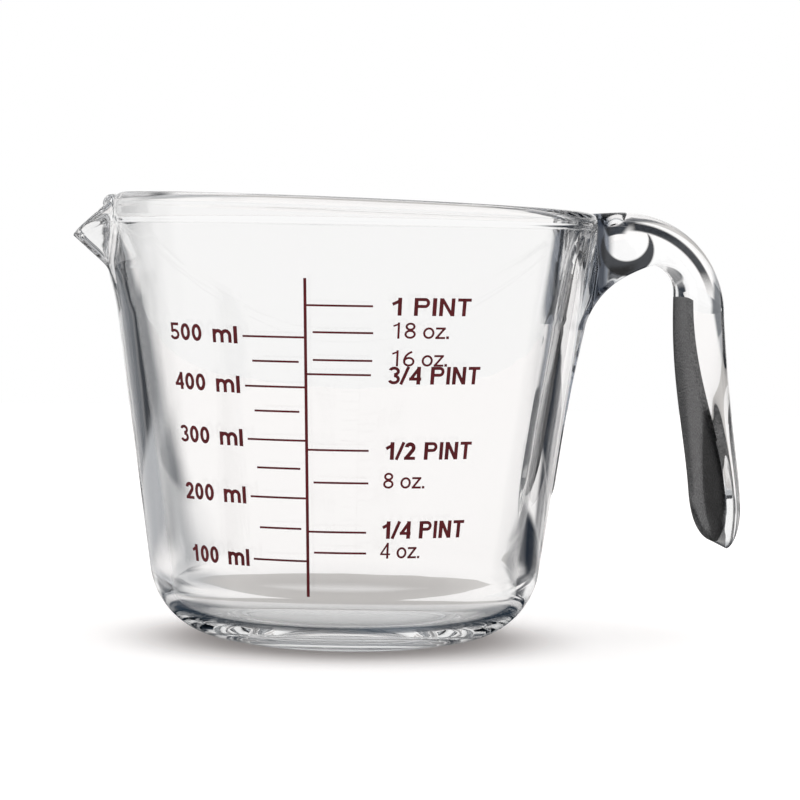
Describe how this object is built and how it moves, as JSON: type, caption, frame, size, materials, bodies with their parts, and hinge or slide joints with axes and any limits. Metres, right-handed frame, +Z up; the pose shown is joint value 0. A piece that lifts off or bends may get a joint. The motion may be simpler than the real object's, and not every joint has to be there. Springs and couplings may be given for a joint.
{
  "type": "measuring jug",
  "caption": "Clear pressed-glass measuring jug with tapered round bowl, pouring lip, open hook handle and fired enamel volume scales in millilitres, pints and ounces.",
  "frame": {"origin": "middle of the foot ring's resting plane, on the bowl's axis", "axes": "+Z up along the bowl's axis, +X towards the handle, -X towards the pouring lip, -Y towards the printed scale"},
  "size_m": [0.1733, 0.1249, 0.1111],
  "materials": {
    "clear_glass": "clear, fire polished",
    "maroon_enamel": "opaque fired enamel, satin"
  },
  "bodies": {
    "root": {"bowl": "clear_glass", "handle": "clear_glass", "scale_line": "maroon_enamel", "hundred_ml_marks": "maroon_enamel", "fifty_ml_marks": "maroon_enamel", "pint_marks": "maroon_enamel", "ounce_marks": "maroon_enamel", "label_500_ml": "maroon_enamel", "label_400_ml": "maroon_enamel", "label_300_ml": "maroon_enamel", "label_200_ml": "maroon_enamel", "label_100_ml": "maroon_enamel", "label_1_pint": "maroon_enamel", "label_3_4_pint": "maroon_enamel", "label_1_2_pint": "maroon_enamel", "label_1_4_pint": "maroon_enamel", "label_18_oz": "maroon_enamel", "label_16_oz": "maroon_enamel", "label_8_oz": "maroon_enamel", "label_4_oz": "maroon_enamel"}
  },
  "joints": []
}
